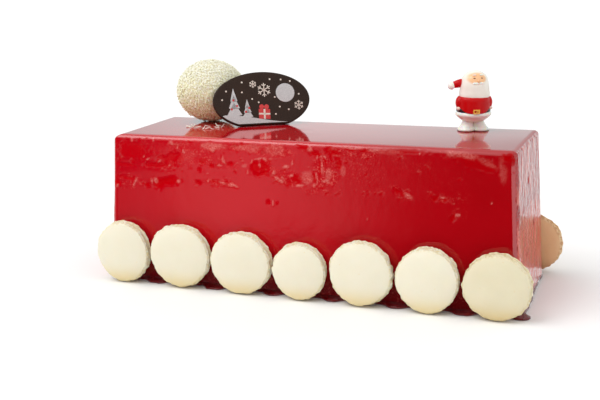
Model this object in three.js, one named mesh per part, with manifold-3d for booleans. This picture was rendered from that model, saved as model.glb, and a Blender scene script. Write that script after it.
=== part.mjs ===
// A yule log cake: a glazed bar-shaped entremets with macarons along both long sides
// and, on top, a coconut ball, a leaning chocolate plaque and a glazed winter figurine.
// Units are millimetres. +X runs along the log, +Y away from its front, +Z up, z = 0 is the table.
import * as THREE from 'three';
import { mergeVertices } from 'three/addons/utils/BufferGeometryUtils.js';
import Module from 'manifold-3d';

// Driving dimensions of the log: its top face, its height and the draft of its mould
const LOG_LENGTH = 273;
const LOG_WIDTH = 80.1;
const LOG_HEIGHT = 100.6;
const FOOT_FLARE = 4.45;
const END_FLARE = 5.4;
const EDGE_RADIUS = 4;
const END_SKEW = 1.36;
const WAVE_HEIGHT = 0.35;
const WAVE_ALONG = 17;
const WAVE_ACROSS = 19;
const WAVE_UP = 27;
const SIDE_FACE_SHARE = 0.99;
const CONTACT_GAP = 0.3;

// Cells of the log's faces between its rounded edges
const CELLS_LONG = 24;
const CELLS_WIDE = 4;
const CELLS_HIGH = 8;
const CELLS_IN_EDGE = 2;

// Macarons: the thickness of one shell and of the filling between two shells
const SHELL_THICKNESS = 5.2;
const FILLING_THICKNESS = 1.5;
const FILLING_SHARE = 0.93;
const MACARON_SEGMENTS = 18;
const RUFFLE_WAVES = 7;
const RUFFLE_SHARE = 0.018;
const FOOT_SHARE = 0.97;
const OVAL_SHARE = 0.008;
const MACARON_LEAN = Math.atan(FOOT_FLARE / LOG_HEIGHT);

// Toppings
const BALL_HALF_WIDTH = 24.3;
const BALL_HALF_HEIGHT = 21.8;
const BALL_BUMP = 0.55;
const BALL_DETAIL = 7;
const BALL_X = -93;
const BALL_Y = 25.9;
const PLAQUE_HALF_WIDTH = 34.2;
const PLAQUE_HALF_HEIGHT = 20.2;
const PLAQUE_THICKNESS = 3;
const PLAQUE_BEVEL = 0.6;
const PLAQUE_CUT = 2.8;
const PLAQUE_X = -48;
const PLAQUE_TURN = THREE.MathUtils.degToRad(31.7);
const PLAQUE_LEAN = THREE.MathUtils.degToRad(19);
const FIGURINE_X = 96.5;
const FIGURINE_Y = 27;
const FIGURINE_TURN = THREE.MathUtils.degToRad(21);

// One row of macarons: place along the log, half width and half height of each
const FRONT_ROW = [
  { x: -127.4, halfWidth: 20.1, halfHeight: 21.4 },
  { x: -83.6, halfWidth: 21.9, halfHeight: 21.7 },
  { x: -39.3, halfWidth: 21.7, halfHeight: 20.9 },
  { x: 1.5, halfWidth: 18.4, halfHeight: 18.8 },
  { x: 42.8, halfWidth: 20.9, halfHeight: 20.8 },
  { x: 84.9, halfWidth: 20.2, halfHeight: 20.6 },
  { x: 127.3, halfWidth: 21.2, halfHeight: 20.5 },
];
const BACK_ROW = [
  { x: -127.6, halfWidth: 20.9, halfHeight: 20.7 },
  { x: -84.2, halfWidth: 21.4, halfHeight: 21.2 },
  { x: -40.6, halfWidth: 20.4, halfHeight: 20.6 },
  { x: 3.4, halfWidth: 21.6, halfHeight: 21.3 },
  { x: 46.9, halfWidth: 20.2, halfHeight: 20.0 },
  { x: 90.6, halfWidth: 21.2, halfHeight: 21.4 },
  { x: 134.6, halfWidth: 20.4, halfHeight: 20.3 },
];

// Pits and scars that burst bubbles left in the front glaze: place, size and depth
const GLAZE_PITS = [
  { x: -27.7, z: 83.5, width: 9.5, height: 8.5, depth: 1.1 },
  { x: -2.9, z: 76.4, width: 8.5, height: 7.0, depth: 0.9 },
  { x: -120.1, z: 69.0, width: 8.0, height: 3.4, depth: 0.8 },
  { x: -105.4, z: 70.3, width: 8.0, height: 3.2, depth: 0.7 },
  { x: -87.2, z: 70.6, width: 7.0, height: 3.2, depth: 0.7 },
  { x: -55.0, z: 72.1, width: 15.0, height: 3.2, depth: 0.8 },
  { x: 66.6, z: 71.6, width: 9.0, height: 4.2, depth: 0.8 },
  { x: 91.5, z: 69.5, width: 6.0, height: 4.6, depth: 0.8 },
  { x: 97.8, z: 59.4, width: 5.0, height: 4.0, depth: 0.7 },
];

const PALETTE = {
  glaze: { color: '#b4101f', roughness: 0.08, metalness: 0 },
  macaronShell: { color: '#f3e8cb', roughness: 0.6, metalness: 0 },
  filling: { color: '#ead2a2', roughness: 0.5, metalness: 0 },
  coconut: { color: '#efe6c8', roughness: 0.9, metalness: 0 },
  chocolate: { color: '#35241b', roughness: 0.3, metalness: 0 },
  ceramic: { color: '#e9e0cf', roughness: 0.12, metalness: 0 },
};
const materials = {};
for (const [name, values] of Object.entries(PALETTE)) {
  materials[name] = new THREE.MeshStandardMaterial(values);
}

const wasm = await Module();
wasm.setup();

// Repeatable random numbers in 0..1 from one whole-number seed
function seededRandom(seed) {
  let state = seed >>> 0;
  return () => {
    state = (Math.imul(state, 1664525) + 1013904223) >>> 0;
    return state / 4294967296;
  };
}

// Shares the vertices of a closed shape and drops the triangles that collapse on an axis
function weld(geometry) {
  const bare = geometry.clone();
  bare.deleteAttribute('normal');
  bare.deleteAttribute('uv');
  const welded = mergeVertices(bare, 1e-4);
  const corners = welded.index.array;
  const kept = [];
  for (let i = 0; i < corners.length; i += 3) {
    const [a, b, c] = corners.slice(i, i + 3);
    if (a !== b && b !== c && c !== a) kept.push(a, b, c);
  }
  welded.setIndex(kept);
  welded.computeVertexNormals();
  return welded;
}

// Moves every vertex of a shape by a function of its place
function reshape(geometry, place) {
  const positions = geometry.attributes.position;
  const point = new THREE.Vector3();
  for (let i = 0; i < positions.count; i += 1) {
    point.fromBufferAttribute(positions, i);
    place(point);
    positions.setXYZ(i, point.x, point.y, point.z);
  }
  geometry.computeVertexNormals();
  return geometry;
}

function toManifold(geometry) {
  const welded = weld(geometry);
  return new wasm.Manifold(new wasm.Mesh({
    numProp: 3,
    vertProperties: new Float32Array(welded.attributes.position.array),
    triVerts: new Uint32Array(welded.index.array),
  }));
}

function fromManifold(solid) {
  const mesh = solid.getMesh();
  const geometry = new THREE.BufferGeometry();
  geometry.setAttribute('position', new THREE.BufferAttribute(new Float32Array(mesh.vertProperties), 3));
  geometry.setIndex([...mesh.triVerts]);
  geometry.computeVertexNormals();
  return geometry;
}

function namedMesh(name, geometry, material) {
  const mesh = new THREE.Mesh(geometry, material);
  mesh.name = name;
  return mesh;
}

// Lowest point of a placed object above the table
function lowestPoint(object) {
  object.updateMatrixWorld(true);
  return new THREE.Box3().setFromObject(object, true).min.z;
}

// Half width of the log at a height: it flares towards its foot
function halfWidthAt(z) {
  return LOG_WIDTH / 2 + FOOT_FLARE * (1 - z / LOG_HEIGHT);
}

// Coordinate of one grid line: cells of even width, and narrow ones inside the rounded edges
function gridLine(share, cells, half) {
  const lines = cells + 2 * CELLS_IN_EDGE;
  const line = Math.round((share + 0.5) * lines);
  const fromEnd = Math.min(line, lines - line);
  const side = line < lines / 2 ? -1 : 1;
  if (fromEnd < CELLS_IN_EDGE) {
    const turn = (Math.PI / 4) * (1 - fromEnd / CELLS_IN_EDGE);
    return side * (half - EDGE_RADIUS + EDGE_RADIUS * Math.tan(turn));
  }
  const inner = half - EDGE_RADIUS;
  return -inner + (2 * inner * (line - CELLS_IN_EDGE)) / cells;
}

function logGeometry() {
  const halfLength = LOG_LENGTH / 2;
  const halfWidth = LOG_WIDTH / 2;
  const halfHeight = (LOG_HEIGHT + EDGE_RADIUS) / 2;
  const cells = [CELLS_LONG, CELLS_WIDE, CELLS_HIGH].map((count) => count + 2 * CELLS_IN_EDGE);
  const grid = weld(new THREE.BoxGeometry(1, 1, 1, ...cells));
  const core = new THREE.Vector3();
  const reach = new THREE.Vector3();
  reshape(grid, (point) => {
    point.set(
      gridLine(point.x, CELLS_LONG, halfLength),
      gridLine(point.y, CELLS_WIDE, halfWidth),
      gridLine(point.z, CELLS_HIGH, halfHeight),
    );
    // round the edges and corners
    core.set(
      THREE.MathUtils.clamp(point.x, EDGE_RADIUS - halfLength, halfLength - EDGE_RADIUS),
      THREE.MathUtils.clamp(point.y, EDGE_RADIUS - halfWidth, halfWidth - EDGE_RADIUS),
      THREE.MathUtils.clamp(point.z, EDGE_RADIUS - halfHeight, halfHeight - EDGE_RADIUS),
    );
    reach.subVectors(point, core).setLength(EDGE_RADIUS);
    point.addVectors(core, reach);
    // the rounding below the table is folded into a flat underside
    point.z = Math.max(point.z + halfHeight - EDGE_RADIUS, 0);
    // flare the sides, skew the right end and let the glazed faces wave a little
    const drop = 1 - Math.min(point.z / LOG_HEIGHT, 1);
    const alongShare = point.x / halfLength;
    const acrossShare = point.y / halfWidth;
    const slant = point.x / WAVE_ALONG + point.z / WAVE_UP;
    const counterSlant = point.y / WAVE_ACROSS - point.z / WAVE_UP;
    const wave = WAVE_HEIGHT * Math.sin(slant) * Math.cos(counterSlant);
    point.x += END_FLARE * drop * alongShare + END_SKEW * acrossShare * Math.max(alongShare, 0);
    point.y += FOOT_FLARE * drop * acrossShare;
    if (point.z > 0) {
      point.x += Math.abs(alongShare) > SIDE_FACE_SHARE ? wave : 0;
      point.y += Math.abs(acrossShare) > SIDE_FACE_SHARE ? wave : 0;
    }
  });
  // burst bubbles in the front
  let solid = toManifold(grid);
  for (const pit of GLAZE_PITS) {
    const lens = new THREE.SphereGeometry(0.5, 8, 5);
    lens.scale(pit.width, 2 * pit.depth, pit.height);
    lens.translate(pit.x, -halfWidthAt(pit.z), pit.z);
    solid = solid.subtract(toManifold(lens));
  }
  return fromManifold(solid);
}

// A macaron shell, flat inside at y = 0, with a ruffled foot and a domed face towards +Y
function shellGeometry(halfWidth, halfHeight, random) {
  const profile = [
    [0, 0],
    [0.95, 0],
    [1.0, 0.13],
    [0.98, 0.33],
    [0.93, 0.57],
    [0.8, 0.8],
    [0.5, 0.95],
    [0, 1],
  ].map(([radiusShare, thicknessShare]) => new THREE.Vector2(radiusShare, thicknessShare * SHELL_THICKNESS));
  const geometry = weld(new THREE.LatheGeometry(profile, MACARON_SEGMENTS));
  const phase = random() * Math.PI * 2;
  const uneven = random() * Math.PI * 2;
  return reshape(geometry, (point) => {
    const angle = Math.atan2(point.z, point.x);
    const radius = Math.hypot(point.x, point.z);
    const foot = radius > FOOT_SHARE ? 1 : 0;
    const ruffle = 1 + foot * RUFFLE_SHARE * Math.sin(RUFFLE_WAVES * angle + phase);
    const outOfRound = 1 + OVAL_SHARE * Math.sin(2 * angle + uneven);
    point.x *= halfWidth * ruffle * outOfRound;
    point.z *= halfHeight * ruffle * outOfRound;
  });
}

function fillingGeometry(halfWidth, halfHeight) {
  const profile = [
    new THREE.Vector2(0, 0),
    new THREE.Vector2(FILLING_SHARE, 0),
    new THREE.Vector2(FILLING_SHARE, FILLING_THICKNESS),
    new THREE.Vector2(0, FILLING_THICKNESS),
  ];
  const geometry = weld(new THREE.LatheGeometry(profile, MACARON_SEGMENTS));
  return geometry.scale(halfWidth, 1, halfHeight);
}

// A macaron standing on its rim and leaning on the log: side is -1 in front and 1 behind
function macaron(name, place, side, seed) {
  const { x, halfWidth, halfHeight } = place;
  const random = seededRandom(seed);
  const shell = (suffix) => {
    const geometry = shellGeometry(halfWidth, halfHeight, random);
    return namedMesh(`${name}_${suffix}`, geometry, materials.macaronShell);
  };
  const innerShell = shell('inner_shell');
  innerShell.rotation.x = Math.PI;
  innerShell.position.y = SHELL_THICKNESS;
  const filling = namedMesh(`${name}_filling`, fillingGeometry(halfWidth, halfHeight), materials.filling);
  filling.position.y = SHELL_THICKNESS + CONTACT_GAP;
  const outerShell = shell('outer_shell');
  outerShell.position.y = filling.position.y + FILLING_THICKNESS + CONTACT_GAP;
  const group = new THREE.Group();
  group.add(innerShell, filling, outerShell);
  group.rotation.x = side > 0 ? MACARON_LEAN : Math.PI - MACARON_LEAN;
  group.position.x = x;
  group.position.y = side * (halfWidthAt(halfHeight) + WAVE_HEIGHT + CONTACT_GAP);
  group.position.z = -lowestPoint(group);
  return group;
}

const BALL_HALF_SIZES = new THREE.Vector3(BALL_HALF_WIDTH, BALL_HALF_WIDTH, BALL_HALF_HEIGHT);

// The coconut ball, a little flattened: its coat is too fine to model, so it has bumps of the flakes' size
function ballMesh() {
  const random = seededRandom(11);
  const ball = weld(new THREE.IcosahedronGeometry(1, BALL_DETAIL));
  reshape(ball, (point) => {
    point.multiply(BALL_HALF_SIZES);
    point.setLength(point.length() + BALL_BUMP * (2 * random() - 1));
  });
  const mesh = namedMesh('ball', ball, materials.coconut);
  mesh.position.set(BALL_X, BALL_Y, 0);
  mesh.position.z = LOG_HEIGHT + CONTACT_GAP - lowestPoint(mesh);
  return mesh;
}

// The oval chocolate plaque, cut flat below so that it stands, leaning back on the ball
function plaqueMesh(ballCentre) {
  const outline = new THREE.Shape();
  const halfWidth = PLAQUE_HALF_WIDTH - PLAQUE_BEVEL;
  const halfHeight = PLAQUE_HALF_HEIGHT - PLAQUE_BEVEL;
  const floor = PLAQUE_CUT - PLAQUE_HALF_HEIGHT + PLAQUE_BEVEL;
  const cutAngle = Math.asin(floor / halfHeight);
  outline.moveTo(halfWidth * Math.cos(cutAngle), floor);
  outline.absellipse(0, 0, halfWidth, halfHeight, cutAngle, Math.PI - cutAngle, false, 0);
  outline.closePath();
  const geometry = weld(new THREE.ExtrudeGeometry(outline, {
    depth: PLAQUE_THICKNESS - 2 * PLAQUE_BEVEL,
    bevelThickness: PLAQUE_BEVEL,
    bevelSize: PLAQUE_BEVEL,
    bevelSegments: 1,
    curveSegments: 20,
  }));
  geometry.translate(0, PLAQUE_HALF_HEIGHT - PLAQUE_CUT, PLAQUE_BEVEL);
  const mesh = namedMesh('plaque', geometry, materials.chocolate);
  mesh.rotation.set(Math.PI / 2 - PLAQUE_LEAN, 0, PLAQUE_TURN, 'ZYX');
  mesh.position.set(PLAQUE_X, 0, 0);
  mesh.position.z = LOG_HEIGHT + CONTACT_GAP - lowestPoint(mesh);
  // slide it across the log until its back meets the ball
  const outward = new THREE.Vector3(0, 0, 1).applyEuler(mesh.rotation);
  const wanted = outward.clone().multiply(BALL_HALF_SIZES).length() + BALL_BUMP + CONTACT_GAP;
  const distance = mesh.position.clone().sub(ballCentre).dot(outward);
  mesh.position.y += (wanted - distance) / outward.y;
  return mesh;
}

// A round body about +Z from (radius, height) pairs that start and end on the axis
function turned(pairs, segments) {
  const profile = pairs.map(([radius, height]) => new THREE.Vector2(radius, height));
  return weld(new THREE.LatheGeometry(profile, segments)).rotateX(Math.PI / 2);
}

// An ellipsoid with its half sizes along X, Y and Z
function ellipsoid(centre, halves, segments) {
  const shape = new THREE.SphereGeometry(1, segments, Math.round(segments * 0.6));
  return shape.scale(...halves).translate(...centre);
}

// One boot, wide at its sole and drawn in towards the middle above
function boot(side) {
  const height = 8;
  const soleSpread = 4.7;
  const ankleSpread = 2.9;
  const depthShare = 1.12;
  const shape = turned([[0, 0], [5.6, 0], [5.8, 1], [4.6, 2.9], [3.7, 5.7], [0, height]], 12);
  return reshape(shape, (point) => {
    point.x += side * THREE.MathUtils.lerp(soleSpread, ankleSpread, point.z / height);
    point.y *= depthShare;
  });
}

// The winter figurine: boots, trim, coat, beard, hat and buckle fired as one piece; it faces -Y
function figurineMesh() {
  const trimOutline = [[0, 6], [7.2, 6.5], [9.6, 8.5], [11.6, 11], [11.4, 13.4], [10.2, 14.6], [0, 14.6]];
  const coatOutline = [[0, 11], [9.8, 12], [10.9, 15.5], [11, 19.5], [10.2, 22.6], [0, 24]];
  const beardLow = [[0, 21], [9.7, 22], [9.9, 24], [9.5, 27], [9.2, 30.5]];
  const beardHigh = [[8.2, 34.2], [6.9, 36.2], [4.4, 38.2], [0, 39.4]];
  const tailOutline = [[0, 0], [2.6, 0], [2.5, 3], [1.9, 7], [0, 7]];
  const tailSlope = THREE.MathUtils.degToRad(13);
  const headShift = 0.6;
  const trim = turned(trimOutline, 20);
  const coat = turned(coatOutline, 20);
  const beard = turned([...beardLow, ...beardHigh], 20).translate(headShift, 0, 0);
  const tail = turned(tailOutline, 12).rotateY(-Math.PI / 2 - tailSlope).translate(-7, headShift, 31.4);
  const pompom = ellipsoid([-14.4, headShift, 29.6], [2.5, 2.7, 2.7], 10);
  const buckle = new THREE.BoxGeometry(4.2, 2.4, 2.8).translate(0, -10.4, 13.8);
  const nose = ellipsoid([headShift, -8.9, 33.2], [1, 1, 0.9], 8);
  const arms = [-1, 1].map((side) => ellipsoid([side * 9.4, -1.6, 18.6], [2.6, 3.6, 4.4], 10));
  const pieces = [boot(-1), boot(1), trim, coat, beard, buckle, nose, tail, pompom, ...arms];
  const solid = pieces.map(toManifold).reduce((whole, piece) => whole.add(piece));
  const mesh = namedMesh('figurine', fromManifold(solid), materials.ceramic);
  mesh.rotation.z = FIGURINE_TURN;
  mesh.position.set(FIGURINE_X, FIGURINE_Y, LOG_HEIGHT + CONTACT_GAP);
  return mesh;
}

const cake = new THREE.Group();
cake.add(namedMesh('log', logGeometry(), materials.glaze));
FRONT_ROW.forEach((place, i) => cake.add(macaron(`front_macaron_${i + 1}`, place, -1, 100 + i)));
BACK_ROW.forEach((place, i) => cake.add(macaron(`back_macaron_${i + 1}`, place, 1, 200 + i)));
const ball = ballMesh();
cake.add(ball, plaqueMesh(ball.position), figurineMesh());

// The middle of the whole footprint goes to the origin
cake.updateMatrixWorld(true);
const middle = new THREE.Box3().setFromObject(cake, true).getCenter(new THREE.Vector3());
cake.position.set(-middle.x, -middle.y, 0);

const part = new THREE.Group();
part.add(cake);

export default part;
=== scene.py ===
import itertools
import math

import bpy
import numpy as np
from mathutils import Matrix, Vector


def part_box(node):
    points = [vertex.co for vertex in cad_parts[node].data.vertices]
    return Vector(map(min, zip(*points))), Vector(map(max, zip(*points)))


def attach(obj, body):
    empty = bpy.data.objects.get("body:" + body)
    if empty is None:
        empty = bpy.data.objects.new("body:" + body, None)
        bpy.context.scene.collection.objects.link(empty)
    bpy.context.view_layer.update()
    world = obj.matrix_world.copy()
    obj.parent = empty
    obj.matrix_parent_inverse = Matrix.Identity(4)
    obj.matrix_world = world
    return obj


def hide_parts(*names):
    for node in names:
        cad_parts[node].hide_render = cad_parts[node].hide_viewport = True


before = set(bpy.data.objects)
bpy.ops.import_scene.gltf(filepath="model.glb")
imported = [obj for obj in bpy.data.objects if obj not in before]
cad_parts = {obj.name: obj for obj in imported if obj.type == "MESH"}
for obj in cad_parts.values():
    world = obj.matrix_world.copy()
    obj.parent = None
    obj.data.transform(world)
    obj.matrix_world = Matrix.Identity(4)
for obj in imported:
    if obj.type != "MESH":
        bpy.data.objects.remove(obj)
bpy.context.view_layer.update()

MM = 0.001
BODY = "root"

# The log as the frame holds it: the place of its middle, its height, and the draft and edges of its mould.
# The left end is rounder along its top, and the right end along its upright edges.
ORIGIN = np.array([-3.280, 0.015, 0]) * MM
LOG_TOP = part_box("log")[1][2]
FOOT_FLARE = 4.45 * MM
END_FLARE = 5.4 * MM
EDGE_RADIUS = 3.4 * MM
LEFT_RADIUS = 7.5 * MM
RIGHT_RADIUS = 5.0 * MM
END_SKEW = 1.36 * MM
SIDE_LEAN = math.atan(FOOT_FLARE / LOG_TOP)
TOP_HALF_LENGTH = 136.5 * MM
TOP_HALF_WIDTH = 40.05 * MM

# The photograph's camera, placed from the middle of the log at table level
CAMERA_OFFSET = (212.7 * MM, -590.7 * MM, 209.4 * MM)
CAMERA_YAW = math.radians(21.20)
CAMERA_PITCH = math.radians(13.92)
CAMERA_ROLL = math.radians(-1.46)
CAMERA_LENS = 57.0

ROW_NAMES = ("front", "back")
MACARONS_IN_ROW = 7


def smoothstep(low, high, value):
    """0 below low, 1 above high and a smooth rise between, also where low is the larger."""
    share = np.clip((value - low) / (high - low), 0, 1)
    return share * share * (3 - 2 * share)


def lattice_noise(points, size, seed):
    """Smooth random relief in -1..1 at an array of points, with bumps about size across."""
    scaled = np.asarray(points, float) / size + 19.37 * (seed + 1)
    cell = np.floor(scaled).astype(np.int64)
    part = scaled - cell
    part = part * part * (3 - 2 * part)
    total = np.zeros(len(scaled))
    for corner in itertools.product((0, 1), repeat=3):
        key = (cell + np.array(corner)) @ np.array([73856093, 19349663, 83492791]) + seed * 2654435761
        key = (key ^ (key >> 15)) * 2246822519 & 0xFFFFFFFF
        key = (key ^ (key >> 13)) * 3266489917 & 0xFFFFFFFF
        weight = np.prod(np.where(corner, part, 1 - part), axis=1)
        total += weight * (key / 0x7FFFFFFF - 1)
    return total


def layered_noise(points, size, seed):
    """Noise in three layers, each finer and weaker by half than the one before."""
    return sum(lattice_noise(points, size / 2**i, seed + i) / 2**i for i in range(3)) / 1.6


# Meshes

def make_piece(name, points, faces, material, smooth=True, tones=None):
    """A mesh object from arrays of points and faces. tones maps attribute names to a value a point."""
    mesh = bpy.data.meshes.new(name)
    mesh.from_pydata(np.asarray(points).tolist(), [], [list(face) for face in faces])
    if smooth:
        mesh.shade_smooth()
    for key, values in (tones or {}).items():
        layer = mesh.attributes.new(key, "FLOAT", "POINT")
        layer.data.foreach_set("value", np.asarray(values, dtype=np.float32))
    mesh.materials.append(material)
    piece = bpy.data.objects.new(name, mesh)
    bpy.context.collection.objects.link(piece)
    return piece


def dress(piece, slot, *nodes):
    """Puts a piece on the cake's body, in place of the solids that it stands for."""
    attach(piece, BODY)
    if nodes:
        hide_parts(*nodes)


def box_surface(lines):
    """Points and outward quads of a box surface from the grid lines of its three axes, each point once."""
    counts = [len(values) for values in lines]
    quads = []
    for axis in range(3):
        across, up = [other for other in range(3) if other != axis]
        u, v = np.meshgrid(np.arange(counts[across] - 1), np.arange(counts[up] - 1), indexing="ij")
        for end in (0, counts[axis] - 1):
            corners = []
            for du, dv in ((0, 0), (1, 0), (1, 1), (0, 1)):
                index = np.empty((u.size, 3), int)
                index[:, axis] = end
                index[:, across] = (u + du).ravel()
                index[:, up] = (v + dv).ravel()
                corners.append(index)
            outward = (axis == 1) == (end == 0)
            quads.append(np.stack(corners if outward else corners[::-1], axis=1))
    keys, order = np.unique(np.concatenate(quads).reshape(-1, 3), axis=0, return_inverse=True)
    points = np.stack([lines[axis][keys[:, axis]] for axis in range(3)], axis=1)
    return points, order.reshape(-1, 4)


def ring_surface(rings, closed_ends=True):
    """Points and faces of a skin through rings of equal length, with a fan over each end."""
    rings = np.asarray(rings)
    count, around = rings.shape[:2]
    points = rings.reshape(-1, 3)
    step = np.arange(around)
    following = (step + 1) % around
    faces = []
    for i in range(count - 1):
        low, high = i * around, (i + 1) * around
        faces += np.stack([low + step, low + following, high + following, high + step], axis=1).tolist()
    if closed_ends:
        points = np.vstack([points, rings[0].mean(axis=0), rings[-1].mean(axis=0)])
        first, last = count * around, count * around + 1
        faces += np.stack([following, step, np.full(around, first)], axis=1).tolist()
        top = (count - 1) * around
        faces += np.stack([top + step, top + following, np.full(around, last)], axis=1).tolist()
    return points, faces


def smooth_profile(pairs, steps):
    """Evenly many points on a smooth curve through (radius, height) pairs."""
    pairs = np.asarray(pairs, float)
    padded = np.vstack([2 * pairs[0] - pairs[1], pairs, 2 * pairs[-1] - pairs[-2]])
    curve = []
    for p0, p1, p2, p3 in zip(padded, padded[1:], padded[2:], padded[3:]):
        for t in np.arange(steps) / steps:
            curve.append(0.5 * (2 * p1 + (p2 - p0) * t + (2 * p0 - 5 * p1 + 4 * p2 - p3) * t**2
                                + (3 * p1 - p0 - 3 * p2 + p3) * t**3))
    curve.append(pairs[-1])
    return np.array(curve)


def circle(count):
    """Points of a unit circle, as rows of (cosine, sine)."""
    angles = np.arange(count) * 2 * math.pi / count
    return np.stack([np.cos(angles), np.sin(angles)], axis=1)


def turned_rings(profile, around):
    """Rings about +Z from a profile of (radius, height) pairs."""
    return np.array([np.column_stack([circle(around) * radius, np.full(around, height)])
                     for radius, height in profile])


def unit(vectors):
    """Rows of vectors, each made one long."""
    return vectors / np.linalg.norm(vectors, axis=1)[:, None]


def joined(parts):
    """One list of points and faces out of several."""
    points, faces, offset = [], [], 0
    for part_points, part_faces in parts:
        points.append(part_points)
        faces += [[corner + offset for corner in face] for face in part_faces]
        offset += len(part_points)
    return np.vstack(points), faces


def node_points(node):
    """The places of a CAD node's vertices at rest."""
    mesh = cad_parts[node].data
    flat = np.empty(len(mesh.vertices) * 3, dtype=np.float32)
    mesh.vertices.foreach_get("co", flat)
    return flat.reshape(-1, 3).astype(float)


def span(points, direction):
    """Lowest and highest place of points along a direction."""
    along = points @ np.asarray(direction)
    return along.min(), along.max()


# Materials

class Nodes:
    """Short ways to add nodes to a tree. place is the coordinate that patterns start from."""

    def __init__(self, tree, coordinate):
        self.tree = tree
        self.place = self.add("ShaderNodeTexCoord").outputs[coordinate]

    def add(self, kind, **settings):
        node = self.tree.nodes.new(kind)
        for key, value in settings.items():
            setattr(node, key, value)
        return node

    def link(self, output, socket):
        self.tree.links.new(output, socket)

    def feed(self, node, values):
        """Fills a node's first sockets with numbers, tuples or other nodes' outputs."""
        for socket, value in zip(node.inputs, values):
            if isinstance(value, (int, float, tuple)):
                socket.default_value = value
            else:
                self.link(value, socket)
        return node.outputs

    def stretched(self, scale):
        """The place, stretched by a scale for each axis."""
        node = self.add("ShaderNodeMapping")
        node.inputs["Scale"].default_value = scale
        self.link(self.place, node.inputs["Vector"])
        return node.outputs["Vector"]

    def noise(self, size, detail=3.0, roughness=0.5, vector=None):
        """Noise in 0..1 with features about size across."""
        node = self.add("ShaderNodeTexNoise")
        node.inputs["Scale"].default_value = 1 / size
        node.inputs["Detail"].default_value = detail
        node.inputs["Roughness"].default_value = roughness
        self.link(vector or self.place, node.inputs["Vector"])
        return node.outputs["Fac"]

    def cells(self, size):
        """Distance to the nearest of many scattered points, about size apart."""
        node = self.add("ShaderNodeTexVoronoi")
        node.inputs["Scale"].default_value = 1 / size
        self.link(self.place, node.inputs["Vector"])
        return node.outputs["Distance"]

    def ranged(self, value, low, high, new_low=0.0, new_high=1.0):
        """A value carried smoothly from one range to another."""
        node = self.add("ShaderNodeMapRange", interpolation_type="SMOOTHSTEP")
        for key, number in zip(("From Min", "From Max", "To Min", "To Max"), (low, high, new_low, new_high)):
            node.inputs[key].default_value = number
        self.link(value, node.inputs["Value"])
        return node.outputs["Result"]

    def math(self, operation, first, second):
        return self.feed(self.add("ShaderNodeMath", operation=operation), (first, second))[0]

    def times(self, first, second):
        return self.math("MULTIPLY", first, second)

    def mix(self, share, first, second):
        """Two colours mixed by a share; a colour is a tuple or another node's output."""
        node = self.add("ShaderNodeMix", data_type="RGBA")
        if isinstance(share, (int, float)):
            node.inputs[0].default_value = share
        else:
            self.link(share, node.inputs[0])
        for socket, value in ((node.inputs[6], first), (node.inputs[7], second)):
            if isinstance(value, tuple):
                socket.default_value = (*value, 1.0)
            else:
                self.link(value, socket)
        return node.outputs[2]


class Shader(Nodes):
    """A material under construction, with its main shader."""

    def __init__(self, name, **values):
        self.material = bpy.data.materials.new(name)
        self.material.use_nodes = True
        super().__init__(self.material.node_tree, "Object")
        self.main = self.tree.nodes["Principled BSDF"]
        for key, value in values.items():
            self.main.inputs[key.replace("_", " ")].default_value = value

    def attribute(self, name):
        return self.add("ShaderNodeAttribute", attribute_name=name).outputs["Fac"]

    def colour(self, output):
        self.link(output, self.main.inputs["Base Color"])

    def rough(self, output):
        self.link(output, self.main.inputs["Roughness"])

    def bump(self, height, distance):
        """Relief from a height in 0..1, a distance high; a second call adds to the first."""
        node = self.add("ShaderNodeBump")
        node.inputs["Distance"].default_value = distance
        self.link(height, node.inputs["Height"])
        socket = self.main.inputs["Normal"]
        if socket.is_linked:
            self.link(socket.links[0].from_socket, node.inputs["Normal"])
        for name in ("Normal", "Coat Normal"):
            self.link(node.outputs["Normal"], self.main.inputs[name])


def linear(red, green, blue):
    """An sRGB colour in 0..255 as the linear values that shaders take."""
    shares = [value / 255 for value in (red, green, blue)]
    return tuple(s / 12.92 if s <= 0.04045 else ((s + 0.055) / 1.055) ** 2.4 for s in shares)


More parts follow.
